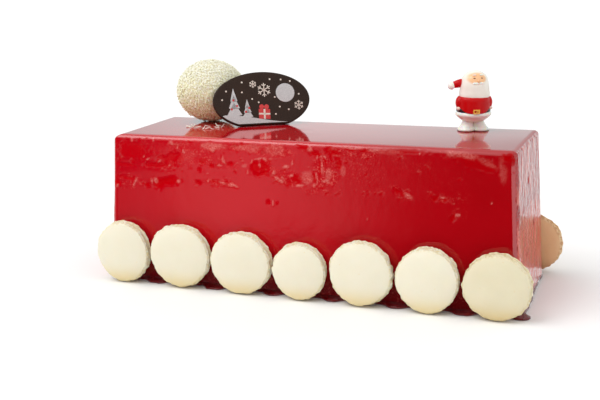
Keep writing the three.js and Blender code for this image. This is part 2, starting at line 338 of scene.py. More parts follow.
def glaze_material():
    """Deep red mirror glaze. Its marks come as values a point: bubbly, pale, deep, streaky and satin."""
    shader = Shader("red_mirror_glaze", IOR=1.5)
    bubbly, pale, deep, streaky = (shader.attribute(name) for name in ("bubbly", "pale", "deep", "streaky"))
    # the base red is painted darker towards the right end: painted shade, as less light falls there
    split = shader.add("ShaderNodeSeparateXYZ")
    shader.link(shader.place, split.inputs[0])
    right = shader.ranged(split.outputs[0], -60 * MM, 130 * MM)
    cloud = shader.noise(26 * MM, 3.0)
    colour = shader.mix(right, shader.mix(cloud, linear(197, 2, 17), linear(205, 6, 28)),
                        shader.mix(cloud, linear(162, 0, 8), linear(174, 1, 14)))
    # it is a shade darker at the far left too
    far_left = shader.ranged(split.outputs[0], -80 * MM, -125 * MM)
    colour = shader.mix(shader.times(far_left, 0.16), colour, linear(112, 0, 16))
    # low on the sides the red is painted darker, painted shade at the log's foot between the macarons; low on
    # the ends it is painted orange, a painted warm reflection from below
    low = shader.ranged(split.outputs[2], 28 * MM, 8 * MM)
    colour = shader.mix(shader.times(low, 0.85), colour, linear(92, 1, 7))
    on_end = shader.ranged(streaky, 0.2, 1.0)
    thin = shader.times(shader.ranged(split.outputs[2], 64 * MM, 44 * MM), on_end)
    colour = shader.mix(shader.times(thin, 0.8), colour, linear(226, 64, 38))
    # where small bubbles burst in the skin, coral patches are painted highlights on their rims, and the
    # hollows are painted a darker pure red as painted shade
    blotch = shader.noise(3.4 * MM, 4.0, 0.66)
    grain = shader.noise(1.1 * MM, 2.0, 0.6)
    ragged = shader.math("ADD", shader.times(blotch, 0.5), shader.times(grain, 0.5))
    bubble_highlight = shader.times(shader.ranged(ragged, 0.52, 0.60), bubbly)
    colour = shader.mix(shader.times(bubble_highlight, 0.6), colour, linear(240, 108, 98))
    hollow = shader.times(shader.ranged(ragged, 0.44, 0.36), bubbly)
    colour = shader.mix(shader.times(hollow, 0.7), colour, linear(176, 0, 8))
    # deep marks are pure red, likewise painted darker towards the right end as painted shade
    colour = shader.mix(deep, colour, shader.mix(right, linear(194, 0, 10), linear(170, 0, 6)))
    # the pale share paints pink-white highlights on lumps and pit rims, and the milky smears
    spotted = shader.ranged(grain, 0.30, 0.62, 0.35, 1.0)
    colour = shader.mix(shader.times(pale, spotted), colour, linear(236, 146, 136))
    drips = shader.noise(8 * MM, 4.0, 0.68, shader.stretched((1, 1, 0.55)))
    runs = shader.times(shader.ranged(drips, 0.50, 0.60), on_end)
    colour = shader.mix(shader.times(runs, 0.6), colour, linear(240, 132, 118))
    shader.colour(colour)
    satin = shader.attribute("satin")
    shader.rough(shader.ranged(satin, 0, 1, 0.08, 0.5))
    shader.link(shader.ranged(satin, 0, 1, 0.05, 0.4), shader.main.inputs["Coat Roughness"])
    # deep hollows mirror little
    shader.link(shader.ranged(deep, 0, 1, 0.5, 0.1), shader.main.inputs["Specular IOR Level"])
    shader.link(shader.ranged(deep, 0, 1, 0.5, 0.0), shader.main.inputs["Coat Weight"])
    shader.bump(shader.times(shader.math("SUBTRACT", ragged, 0.5), bubbly), 0.45 * MM)
    shader.bump(shader.times(shader.math("SUBTRACT", drips, 0.5), streaky), 7 * MM)
    waves = shader.noise(5 * MM, 3.0)
    shader.bump(shader.times(shader.math("SUBTRACT", waves, 0.5), on_end), 1.4 * MM)
    return shader.material


def shaded_glaze_material():
    """Glaze that ran together at the foot, painted dark red as painted shade, with small glints."""
    shader = Shader("shaded_pooled_glaze", Roughness=0.14, IOR=1.5)
    # the dark red is painted shade at the log's foot
    shader.colour(shader.mix(shader.noise(4 * MM, 4.0, 0.6), linear(62, 1, 6), linear(132, 4, 14)))
    shader.bump(shader.noise(1.8 * MM, 3.0, 0.6), 0.9 * MM)
    return shader.material


def macaron_material(name, low_tone, high_tone, toasted, frill_tone):
    """Baked almond shell: an even face, a few pores and a ruffled paler foot whose gaps carry painted shade;
    its lower part carries painted shade and warm bounce light.
    """
    shader = Shader(name, Roughness=0.5, IOR=1.45, Subsurface_Weight=0.2)
    shader.main.inputs["Subsurface Radius"].default_value = (1.0, 0.7, 0.4)
    shader.main.inputs["Subsurface Scale"].default_value = 2 * MM
    colour = shader.mix(shader.noise(13 * MM, 4.0), low_tone, high_tone)
    speckle = shader.ranged(shader.cells(6.0 * MM), 0.085, 0.03)
    colour = shader.mix(shader.times(speckle, 0.5), colour, toasted)
    foot = shader.attribute("foot")
    # the foot's gaps are painted towards the toasted tone: painted shade in the ruffles
    ruffle_shading = shader.ranged(shader.noise(1.9 * MM, 3.0, 0.6), 0.42, 0.54)
    frill = shader.mix(ruffle_shading, shader.mix(0.8, high_tone, toasted), frill_tone)
    colour = shader.mix(foot, colour, frill)
    # the lower part is mixed towards the toasted tone: painted shade and warm bounce light from below
    shader.colour(shader.mix(shader.times(shader.attribute("painted_bounce"), 0.85), colour, toasted))
    shader.bump(shader.noise(2.6 * MM, 4.0, 0.6), 0.16 * MM)
    shader.bump(shader.times(shader.noise(1.2 * MM, 4.0, 0.7), foot), 0.9 * MM)
    return shader.material


def filling_material():
    shader = Shader("butter_cream_filling", Roughness=0.4, IOR=1.46)
    shader.colour(shader.mix(shader.noise(3 * MM), linear(226, 196, 150), linear(240, 218, 178)))
    shader.bump(shader.noise(2 * MM), 0.3 * MM)
    return shader.material


def coconut_material(name, low_tone, high_tone):
    shader = Shader(name, Roughness=0.7, IOR=1.45)
    # lighter above and yellower below by height: painted light and shade
    colour = shader.mix(shader.attribute("painted_light"), low_tone, high_tone)
    patchy = shader.ranged(shader.noise(0.7 * MM), 0.3, 0.7, 0, 0.3)
    shader.colour(shader.mix(patchy, colour, linear(236, 218, 180)))
    shader.bump(shader.noise(0.4 * MM), 0.08 * MM)
    return shader.material


def chocolate_material():
    shader = Shader("dark_chocolate", Roughness=0.28, IOR=1.46, Specular_IOR_Level=0.3)
    bloom = shader.noise(9 * MM, 4.0)
    shader.colour(shader.mix(bloom, linear(36, 21, 11), linear(54, 33, 19)))
    shader.rough(shader.ranged(shader.noise(4 * MM), 0.3, 0.7, 0.22, 0.34))
    shader.bump(shader.noise(6 * MM, 3.0), 0.12 * MM)
    return shader.material


def print_material(name, shade, pale):
    """Cocoa butter print: an even colour with a faint grain where it was transferred."""
    shader = Shader(name, Roughness=0.38, IOR=1.46)
    shader.colour(shader.mix(shader.ranged(shader.noise(0.8 * MM, 3.0), 0.35, 0.75), shade, pale))
    shader.bump(shader.noise(1.0 * MM), 0.03 * MM)
    return shader.material


def ceramic_material(name, shade, pale, **values):
    """Painted and glazed ceramic: colour pooled a little unevenly under a clear coat."""
    settings = {"Roughness": 0.22, "IOR": 1.5, "Coat_Weight": 0.25, "Coat_Roughness": 0.04, **values}
    shader = Shader(name, **settings)
    shader.main.inputs["Subsurface Scale"].default_value = 3 * MM
    shader.colour(shader.mix(shader.noise(5 * MM, 3.0), shade, pale))
    shader.bump(shader.noise(3 * MM, 2.0), 0.06 * MM)
    return shader.material


def face_material():
    """The head's glaze: cream white, with the painted skin where the face is."""
    shader = Shader("figurine_head_glaze", Roughness=0.22, IOR=1.5, Coat_Weight=0.25, Coat_Roughness=0.04)
    white = shader.mix(shader.noise(5 * MM, 3.0), linear(244, 238, 224), linear(254, 250, 242))
    skin = shader.mix(shader.noise(2.5 * MM, 2.0), linear(250, 186, 128), linear(253, 206, 160))
    shader.colour(shader.mix(shader.attribute("skin"), white, skin))
    shader.bump(shader.noise(3 * MM, 2.0), 0.06 * MM)
    return shader.material


# The log

def grid_lines(half, radius, step):
    """Grid lines from -half to half: even ones, and five narrow ones inside each rounded edge."""
    inner = half - radius
    even = np.linspace(-inner, inner, max(2, round(2 * inner / step)) + 1)
    edge = inner + radius * np.tan(np.linspace(0, math.pi / 4, 6)[1:])
    return np.concatenate([-edge[::-1], even, edge])


# Marks on the front, in millimetres: place along the log and above the table, half sizes, slope in degrees.
# Deep marks are hollows of pure red; pale ones are small lumps, painted pink-white as painted highlights.
DEEP_MARKS = (
    (-31, 83, 3.4, 4.4, 10), (-25, 82.4, 3.6, 5.2, -14), (-3, 76.6, 2.6, 3.4, 20),
    (-127.5, 71, 8.4, 1.3, -5), (-101, 68.6, 4.4, 3.6, 0), (-93, 70.4, 6.6, 3.2, 8),
    (-109.6, 66.8, 2.2, 1.6, 0), (-133.5, 66.5, 3, 2.4, 0), (-71.5, 70.8, 2.4, 1.2, 0),
    (-61, 72, 1.6, 1, 0), (-57, 71.6, 1, 1.2, 0), (-51, 71.8, 1.2, 1, 0), (-127, 80, 9, 1.1, -3),
    (-101, 80.8, 12, 1.8, 3), (-92, 86, 9, 3.4, 14), (-122, 90, 12, 7, -10), (3.4, 97, 6.4, 1.7, -18),
    (11, 93.6, 4.6, 1.6, -20), (22.6, 95.4, 5.6, 2.2, -22), (34, 97.4, 4, 1.2, -4), (44, 97, 4.4, 1.1, 4),
    (63.2, 73.2, 2.6, 1.5, -30), (67, 71.4, 2, 1, -30), (87.6, 70, 2.4, 1.4, 35),
    (92.4, 69.4, 3.2, 1.2, 4), (97.4, 58.8, 1.6, 3.2, -25), (113, 92.6, 16, 4.4, -16),
    (70, 97.8, 12, 1.8, 0), (132, 97, 4, 3.4, 0), (-44.5, 95.8, 1.6, 2, 30), (-40.2, 96.6, 1.3, 2.6, 10),
    (-36.4, 97.2, 0.8, 1.4, 0), (-20.4, 95.8, 0.9, 2.6, 0), (-28, 78.6, 4, 1.4, 0),
    (-9.4, 74, 0.9, 3, 30), (-7.2, 74.6, 0.8, 2.6, 30), (13.2, 84, 0.8, 7, 0), (16.8, 90, 0.7, 4.6, 8),
    (9.6, 79, 0.9, 3.4, 10), (21, 91.6, 0.8, 4.4, 18), (26, 88, 1.6, 5.6, 10), (-68.8, 84.6, 1.8, 1.6, 0),
    (-62.4, 82.6, 1.4, 1.2, 0), (-57.4, 82.8, 1.2, 1, 0), (-71, 79.4, 1.2, 1.4, 0),
    (-48.6, 84.4, 2.2, 0.9, 10), (-22, 60.6, 0.9, 1.2, 0), (-15.6, 60, 0.9, 1.1, 0),
)
PALE_MARKS = (
    (-118.4, 69.4, 0.9, 2.4, -26), (-120, 66.8, 0.8, 1.4, -20), (-103.6, 70.6, 1.5, 1.7, 30),
    (-106.2, 70, 0.6, 1.9, 8), (-86.4, 70.7, 1.1, 1.1, 0), (-64.4, 72.2, 0.9, 1.1, 0),
    (-54.6, 71.4, 2.2, 0.7, -14), (-47.6, 70.4, 3.6, 1.1, -12), (-133, 64.8, 0.9, 1, -30),
    (-121.4, 97, 0.8, 1.5, 16), (-112.6, 98.4, 1.4, 0.7, 0), (-105, 97.8, 0.5, 1.4, 8),
    (-91.4, 96.2, 1.9, 1.3, -30), (-86.6, 94, 0.6, 1, 0), (-82.4, 91.2, 0.6, 2, 26),
    (-100.4, 83.6, 1.7, 0.7, 24), (-93, 81, 0.8, 0.7, 0), (-60.6, 93.4, 1.6, 2.2, -24),
    (-53, 86, 1.1, 2, 20), (-56, 83, 1.9, 0.6, 0), (-29.6, 88.4, 3.8, 0.45, 14),
    (-24.4, 88.6, 1.9, 0.6, -34), (-33.4, 86.6, 0.5, 1.8, -20), (-27.8, 84.4, 0.7, 1.3, 10),
    (-36.2, 79.6, 0.7, 1, 0), (-18, 80.4, 1, 2.2, -30), (-15.6, 76.6, 2.6, 0.7, -30),
    (-13, 75, 1.8, 1, -16), (-11.2, 76, 0.5, 3.2, 34), (-6, 78.8, 1.6, 0.8, 20),
    (-0.8, 72.8, 3.2, 0.5, 4), (-9.8, 84.6, 2.4, 0.6, 4), (-5.2, 87.4, 0.7, 2, -10),
    (6.8, 96.6, 2.2, 1.5, 0), (14.6, 92.4, 1.6, 0.5, 24), (11.4, 91.4, 0.5, 1.2, 0),
    (17, 91.8, 0.6, 1.3, 30), (14.8, 85.6, 0.7, 4.6, 4), (16.6, 76.6, 2.4, 0.9, 20),
    (11.2, 79, 0.6, 3.6, 8), (9.4, 73.6, 1, 1, 0), (36, 98.2, 5.4, 0.5, -2), (49, 97.6, 6, 0.5, 2),
    (97.4, 97.4, 2, 0.9, -30), (69.8, 71.4, 2.6, 0.8, -38), (91.6, 70.8, 1.7, 0.6, -10),
    (100.6, 60.6, 1.5, 0.8, 24), (44.4, 54.2, 0.5, 0.5, 0), (121, 69.4, 0.45, 0.45, 0),
    (-18.6, 60.2, 0.5, 1.9, 0), (78, 97, 0.7, 0.7, 0), (-109.4, 84.6, 1.4, 0.5, 24),
    (-112.4, 86.2, 0.6, 0.5, 0),
)
# Soft milky smears: place, half sizes, slope and strength
SMEARS = (
    (5.4, 78.6, 4, 3.8, 10, 0.36), (-38.4, 83.8, 2.4, 1.5, 14, 0.4), (18.8, 80.6, 2.2, 5.8, -4, 0.4),
    (28.8, 84, 2.2, 3.8, 6, 0.3), (104.6, 97.4, 10, 2.4, -9, 0.42), (118.6, 93.2, 8, 1.8, -26, 0.22),
    (127.8, 88.6, 2, 6.6, 4, 0.2), (-60, 95.4, 12, 2.8, 0, 0.5), (-38, 95.4, 10, 2.6, 0, 0.4),
    (-18, 94.6, 7, 3.4, 0, 0.3), (-80, 88, 9, 4, 24, 0.1), (58, 97, 12, 1.8, 0, 0.2),
    (70, 70.6, 3.4, 1.6, -38, 0.3),
)
# Deep marks on the right end: place across and above the table, half sizes, slope
END_MARKS = (
    (-6, 76.6, 2.4, 2.2, 0), (-22, 61, 1.8, 1.8, 0), (10, 46, 2, 3, 0), (-14, 30, 2.2, 4, 0),
)
# Patches of fine bubbles: place, half sizes, slope and strength
BUBBLY_PATCHES = (
    (-50, 95.4, 26, 3.2, 0, 1), (-16, 94.4, 14, 4.4, -6, 0.75), (-12, 77.6, 13, 5, -16, 0.7),
    (16, 83, 8, 13, 0, 0.9), (-74, 90, 15, 8, -14, 0.5), (-100, 92, 26, 7, 0, 0.14),
    (-88, 83, 12, 4, 10, 0.35), (-52, 83, 14, 3.4, 0, 0.35), (-56, 71.6, 14, 1.8, 0, 0.6),
    (-122, 68.6, 16, 4, 0, 0.35), (36, 95.6, 20, 3.6, 0, 0.8), (40, 86, 20, 10, 0, 0.2),
    (66, 92, 16, 6, 0, 0.1), (88, 84, 26, 8, -10, 0.04), (104, 97, 14, 2.2, -8, 0.5),
    (66, 72, 7, 3.4, -30, 0.4), (90, 70, 9, 3, 0, 0.28), (99, 60, 6, 3.4, 24, 0.2),
    (0, 9, 150, 10, 0, 0.35),
)


def mark_share(x, z, mark, ragged):
    """1 inside a mark, 0 outside and a soft ragged border between, from places in millimetres."""
    along, above, half_x, half_z, slope = mark
    turn = math.radians(slope)
    dx, dz = x - along, z - above
    run = (dx * math.cos(turn) + dz * math.sin(turn)) / half_x
    rise = (dz * math.cos(turn) - dx * math.sin(turn)) / half_z
    return smoothstep(1.3, 0.5, np.hypot(run, rise) * (1 + 0.75 * ragged))


def small_pits(x, z, strength, ragged, seed):
    """Relief in millimetres of many burst bubbles: ragged hollows, each with a rim that is higher above."""
    rng = np.random.default_rng(seed)
    relief, deep, glint = (np.zeros(len(x)) for _ in range(3))
    for _ in range(520):
        along, above = rng.uniform(-132, 132), rng.uniform(66, 98.5)
        size = rng.uniform(0.4, 1.0)
        near = (np.abs(x - along) < 3.4 * size) & (np.abs(z - above) < 3 * size)
        if not near.any() or strength[near].max() < rng.random():
            continue
        dx, dz = (x[near] - along) / (size * rng.uniform(0.9, 2.1)), (z[near] - above) / size
        reach = np.hypot(dx, dz) * (1 + 0.6 * ragged[near])
        upper = np.clip(dz / (np.hypot(dx, dz) + 1e-6), 0, 1)
        hollow = np.clip(1 - reach**2, 0, 1)
        rim = np.exp(-(((reach - 1.15) / 0.35) ** 2)) * upper
        relief[near] += size * (0.14 * rim - 0.16 * hollow)
        deep[near] = np.maximum(deep[near], hollow**0.6)
        glint[near] = np.maximum(glint[near], rim * rng.uniform(0.1, 0.8))
    return relief, deep, glint


def rounding(past, over, radius):
    """How far points in a corner move in to round it, from their distances past its two tangent lines."""
    pull = np.maximum(np.hypot(past, over) / radius, 1) - 1
    share = pull / (pull + 1) * (past > 0) * (over > 0)
    return past * share, over * share


def log_skin():
    """The log's box with rounded edges: its points before and after the draft, its faces and its normals."""
    half_height = (LOG_TOP + EDGE_RADIUS) / 2
    halves = np.array([TOP_HALF_LENGTH, TOP_HALF_WIDTH, half_height])
    steps = (0.8 * MM, 2.5 * MM, 0.8 * MM)
    points, faces = box_surface([grid_lines(half, EDGE_RADIUS, step) for half, step in zip(halves, steps)])
    core = np.clip(points, EDGE_RADIUS - halves, halves - EDGE_RADIUS)
    normal = unit(points - core)
    points = core + normal * EDGE_RADIUS
    points[:, 2] = np.maximum(points[:, 2] + half_height - EDGE_RADIUS, 0)
    past_end = np.maximum(LEFT_RADIUS - TOP_HALF_LENGTH - points[:, 0], 0)
    inwards, down = rounding(past_end, np.maximum(points[:, 2] - LOG_TOP + LEFT_RADIUS, 0), LEFT_RADIUS)
    points[:, 0] += inwards
    points[:, 2] -= down
    past_end = np.maximum(points[:, 0] - TOP_HALF_LENGTH + RIGHT_RADIUS, 0)
    past_side = np.maximum(np.abs(points[:, 1]) - TOP_HALF_WIDTH + RIGHT_RADIUS, 0)
    inwards, across = rounding(past_end, past_side, RIGHT_RADIUS)
    points[:, 0] -= inwards
    points[:, 1] -= np.sign(points[:, 1]) * across
    drop = 1 - np.minimum(points[:, 2] / LOG_TOP, 1)
    along_share, across_share = points[:, 0] / TOP_HALF_LENGTH, points[:, 1] / TOP_HALF_WIDTH
    drafted = points.copy()
    drafted[:, 0] += END_FLARE * drop * along_share + END_SKEW * across_share * np.maximum(along_share, 0)
    drafted[:, 1] += FOOT_FLARE * drop * across_share
    return points, drafted, faces, normal


def bubbly_skin(x, z, frayed):
    """Strength of the skin of burst bubbles, in patches from places in millimetres."""
    bubbly = np.zeros(len(x))
    for *patch, strength in BUBBLY_PATCHES:
        bubbly = np.maximum(bubbly, strength * mark_share(x, z, patch, frayed))
    return bubbly


def waviness(places, top, long_sides, ends, marked):
    """Relief in millimetres of the smooth glaze; marked is the share of the top near the ball."""
    x, y, z = places.T
    relief = 0.05 * lattice_noise(places, 45, 1) * top
    relief += 0.035 * layered_noise(places, 6, 8) * top * marked
    uneven = 0.16 * lattice_noise(places, 46, 2) + 0.03 * lattice_noise(places, 13, 3)
    relief += (1 - top) * smoothstep(0, 4, z) * uneven
    relief += 0.05 * long_sides * smoothstep(64, 76, z) * lattice_noise(places * (1, 1, 3), 14, 7)
    # the left end bulges low down
    relief += 0.5 * ends * smoothstep(0, 4, z) * (x < 0) * np.exp(-(((z - 42) / 14) ** 2))
    return relief


def add_marks(places, front, right_end, ragged, frayed, deep, pale):
    """Adds the listed marks to the deep and pale shares, and returns both with the marks' relief."""
    x, y, z = places.T
    relief = np.zeros(len(x))
    for mark in DEEP_MARKS:
        share = mark_share(x, z, mark, ragged) * front
        deep = np.maximum(deep, share * (0.65 if mark[2] >= 8 else 1))
        relief -= min(0.20 * min(mark[2:4]), 0.3) * share
    for mark in PALE_MARKS:
        share = mark_share(x, z, mark, ragged) * front
        pale = np.maximum(pale, 0.55 * share)
        deep = deep * (1 - share)
        relief += 0.24 * min(mark[2:4]) * share
    for *mark, smear in SMEARS:
        share = mark_share(x, z, mark, 0.7 * frayed + 0.5 * ragged)
        pale = np.maximum(pale, 0.75 * smear * smoothstep(0, 1, share) * front)
    for mark in END_MARKS:
        share = mark_share(y, z, mark, ragged) * right_end
        deep = np.maximum(deep, share)
        relief -= 0.12 * share
    return deep, pale, relief


def make_log(material):
    """The glazed log: its skin with relief and, for the glaze, its marks as values a point."""
    straight, points, faces, normal = log_skin()
    places = straight / MM
    x, y, z = places.T
    top = smoothstep(0.5, 0.9, normal[:, 2])
    ends = smoothstep(0.6, 0.95, np.abs(normal[:, 0]))
    long_sides = smoothstep(0.55, 0.85, np.abs(normal[:, 1]))
    front = long_sides * (normal[:, 1] < 0)
    ragged = layered_noise(places, 2.2, 55)
    frayed = layered_noise(places, 9, 57)
    # faint bubbles in the top, round the ball and the plaque
    near_ball = np.exp(-((((x + 48) / 42) ** 2 + ((y + 8) / 30) ** 2) ** 2))
    bubbly = np.maximum(bubbly_skin(x, z, frayed) * long_sides, 0.10 * top * near_ball)
    relief = waviness(places, top, long_sides, ends, near_ball)
    relief += 0.10 * bubbly * layered_noise(places, 3.4, 4)
    pits, pit_cores, glints = small_pits(x, z, bubbly * long_sides, ragged, 17)
    relief += pits * long_sides
    # the pits' rims give glints, which are painted highlights in the pale share
    deep, pale = 0.7 * pit_cores * long_sides, 0.4 * glints * long_sides
    deep, pale, marks = add_marks(places, front, ends * (x > 0), ragged, frayed, deep, pale)
    points += normal * (relief + marks)[:, None] * MM
    points[:, 2] = np.maximum(points[:, 2], 0)
    streaky = np.maximum(ends, 0.012 * front) * smoothstep(0, 4, z)
    # the front's upper edge is satin towards the right end
    edge = smoothstep(0.1, 0.3, normal[:, 2]) * smoothstep(0.999, 0.98, normal[:, 2]) * (normal[:, 1] < 0)
    satin = edge * smoothstep(0, 90, x)
    tones = {"bubbly": bubbly, "pale": pale, "deep": deep, "streaky": streaky, "satin": satin}
    dress(make_piece("glazed_log", points + ORIGIN, faces, material, tones=tones), "glaze", "log")


def macaron_places():
    """Where each macaron of both rows touches the table: its place along the log, by row."""
    return {row: [sum(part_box(f"{row}_macaron_{i + 1}_filling")[k][0] for k in (0, 1)) / 2
                  for i in range(MACARONS_IN_ROW)] for row in ROW_NAMES}


def rounded_outline(half, corner, count):
    """Evenly spaced points on a rectangle with round corners, and their outward directions."""
    straight = half - corner
    quarter = math.pi / 2 * corner
    lengths = 2 * straight[[0, 1, 0, 1]]
    points, outwards = [], []
    for run in np.arange(count) / count * (lengths.sum() + 4 * quarter):
        for length, way in zip(lengths, np.array([(1, 0), (0, 1), (-1, 0), (0, -1)])):
            outward = np.array([way[1], -way[0]])
            if run <= length:
                points.append(outward * half + way * (run - length / 2))
                outwards.append(outward)
                break
            run -= length
            if run <= quarter:
                turned = outward * math.cos(run / corner) + way * math.sin(run / corner)
                points.append((outward + way) * straight + turned * corner)
                outwards.append(turned)
                break
            run -= quarter
    return np.array(points), np.array(outwards)


def make_glaze_foot(material):
    """The glaze that ran down and set: a low lip round the log, wide between macarons."""
    around = 900
    corner = 4 * MM
    places = macaron_places()
    foot_half = np.array([TOP_HALF_LENGTH + END_FLARE, TOP_HALF_WIDTH + FOOT_FLARE])
    centres, outwards = rounded_outline(foot_half, corner, around)
    flat = np.column_stack([centres, np.zeros(len(centres))])
    width = 1.1 * MM + 0.7 * MM * layered_noise(flat, 9 * MM, 61)
    # a thick drop at the right front corner
    width += 3.2 * MM * np.exp(-((np.hypot(*(centres - foot_half * (1, -1)).T) / (6 * MM)) ** 2))
    for sign, row in ((-1, "front"), (1, "back")):
        here = centres[:, 1] * sign > (foot_half[1] - corner) * 0.98
        distance = np.min([np.abs(centres[:, 0] + ORIGIN[0] - place) for place in places[row]], axis=0)
        roomy = smoothstep(11 * MM, 19 * MM, distance)
        width += here * roomy * (4.2 * MM + 1.8 * MM * layered_noise(flat, 7 * MM, 63))
    width = np.maximum(width, 0.8 * MM)
    rings = []
    # negative shares lie under the log, by that many millimetres
    profile = ((-1.2, 0), (-1.2, 2.2), (-0.2, 2.2), (0.25, 1.7), (0.7, 1.1), (0.95, 0.5), (1.0, 0))
    for share, height in profile:
        reach = width * share if share > 0 else np.full(around, share * MM)
        level = height * MM * (1 + 0.35 * lattice_noise(flat, 6 * MM, 65))
        rings.append(np.column_stack([centres + outwards * reach[:, None], level]))
    points, faces = ring_surface(rings, closed_ends=False)
    step = np.arange(around)
    following = (step + 1) % around
    last = (len(rings) - 1) * around
    faces += np.stack([last + step, last + following, following, step], axis=1).tolist()
    dress(make_piece("glaze_foot", points + ORIGIN, faces, material), "glaze")


def make_seats(plaque, material):
    """Low ridges of glaze raised round the plaque's foot and the figurine's boots."""
    foot_half = plaque.half_width * math.sqrt(1 - (plaque.floor / plaque.half_height) ** 2)
    parts = []
    middle = plaque.at((0, plaque.floor, plaque.thickness / 2))
    places = [(middle, PLAQUE_TURN, foot_half + 1.2 * MM, 2.4 * MM, 0.75 * MM)]
    for side in (-1, 1):
        step = Matrix.Rotation(FIGURINE_TURN, 2) @ Vector((side * 4.6 * MM, -0.5 * MM))
        place = ORIGIN + (FIGURINE_PLACE[0] + step[0], FIGURINE_PLACE[1] + step[1], 0)
        places.append((place, FIGURINE_TURN, 6.0 * MM, 6.4 * MM, 0.5 * MM))
    for place, turn, half_length, half_width, height in places:
        points, faces = ellipsoid_part((0, 0, 0), (half_length, half_width, height), 90, 16)
        points[:, 0] *= 1 + 0.03 * lattice_noise(points, 4 * MM, 67)
        points[:, 1] *= 1 + 0.10 * lattice_noise(points, 4 * MM, 68)
        points = points @ np.array(Matrix.Rotation(turn, 3, "Z")).T
        parts.append((points + (place[0], place[1], LOG_TOP + 0.02 * MM), faces))
    dress(make_piece("glaze_seats", *joined(parts), material), "glaze")


# Macarons

def shell_rings(half_width, half_height, thickness, seed):
    """Rings of one macaron shell: flat side at z 0, a ruffled foot, a crease and a domed face up."""
    rng = np.random.default_rng(seed)
    profile = [(0.55, 0.0, 0.0), (0.8, 0.0, 0.0), (0.93, 0.0, 0.2)]
    for turn in np.linspace(-0.9, 1, 8):
        swell = math.cos(turn * math.pi / 2)
        profile.append((0.932 + 0.062 * swell**0.7, 0.17 + 0.17 * turn, swell**0.5))
    crease = 0.34
    for turn in np.linspace(0.03, 1, 24):
        reach = math.cos(turn * math.pi / 2)
        crown = (1 - reach**2.15) ** (1 / 2.0)
        rim = 0.6 * smoothstep(0.93, 0.99, reach)
        profile.append((0.962 * reach + 0.006, crease + (1 - crease) * crown, rim))
    around = 150
    angles = np.arange(around) * 2 * math.pi / around
    rings, feet = [], []
    stretch = 0.012 * rng.uniform(-1, 1, 2)
    for share, level, foot in profile[:-1]:
        oval = 1 + stretch[0] * np.cos(2 * angles + seed) + stretch[1] * np.cos(3 * angles + 2 * seed)
        place = np.column_stack([np.cos(angles) * half_width * share * oval,
                                 np.sin(angles) * half_height * share * oval,
                                 np.full(around, level * thickness)])
        ruffle = foot * (0.95 * MM * layered_noise(place * (1, 1, 0.6), 2.4 * MM, seed)
                         + 0.30 * MM * lattice_noise(place * (1, 1, 0.3), 5 * MM, seed + 7))
        place = place + unit(place * (1, 1, 0)) * ruffle[:, None]
        dome = smoothstep(crease, crease + 0.2, level)
        flat = place * (1, 1, 0)
        place[:, 2] += dome * (0.28 * MM * lattice_noise(flat, 12 * MM, seed + 11)
                               + 0.07 * MM * lattice_noise(flat, 4.2 * MM, seed + 13))
        rings.append(place)
        feet.append(np.full(around, foot))
    return rings, np.concatenate([*feet, [0.0, 0.0]])


def spans_of(node, axes):
    """A solid's lowest and highest places along each of three axes."""
    solid = node_points(node)
    return np.array([span(solid, way) for way in axes])


def make_shell(node, axes, facing, seed, material):
    """One baked shell with its dome away from the cream, fitted to its solid."""
    spans = spans_of(node, axes)
    half_width, half_height = (spans[:2, 1] - spans[:2, 0]) / 2 - 0.15 * MM
    rings, feet = shell_rings(half_width, half_height, spans[2, 1] - spans[2, 0], seed)
    local, faces = ring_surface(rings)
    start = (spans[0].mean(), spans[1].mean(), spans[2, 0 if facing > 0 else 1])
    points = (local * (facing, 1, facing) + start) @ axes
    points[:, 2] = np.maximum(points[:, 2], 0)
    # the lower part's share of painted shade and warm bounce light
    tones = {"foot": feet, "painted_bounce": smoothstep(0.1, 1.0, -local[:, 1] / half_height) ** 2}
    piece = make_piece(node.replace("macaron", "baked"), points, faces, material, tones=tones)
    dress(piece, "macaron_shell", node)


def make_cream(node, name, axes, seed, material):
    """The disc of cream between two shells, a little uneven at its rim."""
    spans = spans_of(node, axes)
    half_width, half_height = (spans[:2, 1] - spans[:2, 0]) / 2
    around = 90
    rings = []
    profile = ((0.6, -0.1), (0.96, -0.1), (0.985, 0.15), (1.0, 0.5), (0.985, 0.85), (0.96, 1.1), (0.6, 1.1))
    for share, level in profile:
        place = np.column_stack([circle(around) * (half_width * share, half_height * share),
                                 np.full(around, level * (spans[2, 1] - spans[2, 0]))])
        place[:, :2] *= 1 + 0.012 * lattice_noise(place, 5 * MM, seed)[:, None]
        rings.append(place)
    local, faces = ring_surface(rings)
    points = (local + (spans[0].mean(), spans[1].mean(), spans[2, 0])) @ axes
    dress(make_piece(name, points, faces, material), "filling", node)


def make_macaron(row, index, shell_material, cream_material):
    """Two shells and their cream, leaning against the log's side."""
    name = f"{row}_macaron_{index + 1}"
    side = -1 if row == "front" else 1
    outwards = np.array([0, side * math.cos(SIDE_LEAN), math.sin(SIDE_LEAN)])
    up = np.array([0, -side * math.sin(SIDE_LEAN), math.cos(SIDE_LEAN)])
    axes = np.array([np.cross(up, outwards), up, outwards])
    for part, facing in (("inner_shell", -1), ("outer_shell", 1)):
        seed = 100 * (side + 2) + 10 * index + facing
        make_shell(f"{name}_{part}", axes, facing, seed, shell_material)
    make_cream(f"{name}_filling", f"{row}_cream_{index + 1}", axes, index, cream_material)


# The coconut ball

CORNERS = ((1, 1), (-1, 1), (-1, -1), (1, -1))


